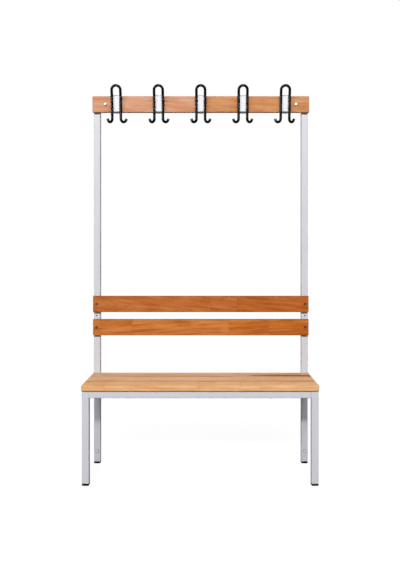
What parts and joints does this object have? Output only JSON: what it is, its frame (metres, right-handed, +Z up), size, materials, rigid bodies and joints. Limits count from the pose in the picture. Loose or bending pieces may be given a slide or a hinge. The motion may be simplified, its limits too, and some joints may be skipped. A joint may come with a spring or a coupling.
{
  "type": "changing room bench",
  "caption": "Single-sided changing room bench: slatted seat and back rest on a square tube frame, with a hook board of double wire coat hooks at the top.",
  "frame": {"origin": "on the floor, in the middle of the bench", "axes": "+X to the sitter's left as seen from the front of the bench, that is to the right of the picture; +Y to the wall behind the bench, so -Y is the front; +Z up"},
  "size_m": [1.005, 0.36, 1.7583],
  "materials": {
    "frame_paint": "light grey powder coat, satin, faint orange peel",
    "seat_wood": "lacquered beech, light golden, satin to glossy",
    "back_wood": "lacquered beech, orange-brown, satin",
    "board_wood": "lacquered beech, pinkish, satin",
    "hook_coat": "black coating on bent steel wire, glossy",
    "clip_coat": "near-white coating on folded sheet",
    "foot_plastic": "black moulded plastic, fine matt texture",
    "plug_plastic": "light grey moulded plastic",
    "zinc": "bright zinc plating",
    "dark_screw": "dark oxide finish"
  },
  "bodies": {
    "root": {"front_leg_left": "frame_paint", "front_leg_right": "frame_paint", "upright_left": "frame_paint", "upright_right": "frame_paint", "front_rail": "frame_paint", "rear_rail": "frame_paint", "side_rail_left": "frame_paint", "side_rail_right": "frame_paint", "board_bracket_left": "frame_paint", "board_bracket_right": "frame_paint", "seat_slat_front": "seat_wood", "seat_slat_middle": "seat_wood", "seat_slat_rear": "seat_wood", "back_slat_lower": "back_wood", "back_slat_upper": "back_wood", "hook_board": "board_wood", "wire_hook_1": "hook_coat", "wire_hook_2": "hook_coat", "wire_hook_3": "hook_coat", "wire_hook_4": "hook_coat", "wire_hook_5": "hook_coat", "hook_clip_1": "clip_coat", "hook_clip_2": "clip_coat", "hook_clip_3": "clip_coat", "hook_clip_4": "clip_coat", "hook_clip_5": "clip_coat", "foot_front_left": "foot_plastic", "foot_front_right": "foot_plastic", "foot_rear_left": "foot_plastic", "foot_rear_right": "foot_plastic", "upright_cap_left": "foot_plastic", "upright_cap_right": "foot_plastic", "wall_hole_plugs": "plug_plastic", "board_bolts": "zinc", "board_washers": "zinc", "board_nuts": "zinc", "rivet_nuts": "zinc", "seat_screws": "zinc", "clip_screws_top": "zinc", "clip_screws_under": "zinc", "back_slat_screws": "dark_screw"}
  },
  "joints": []
}
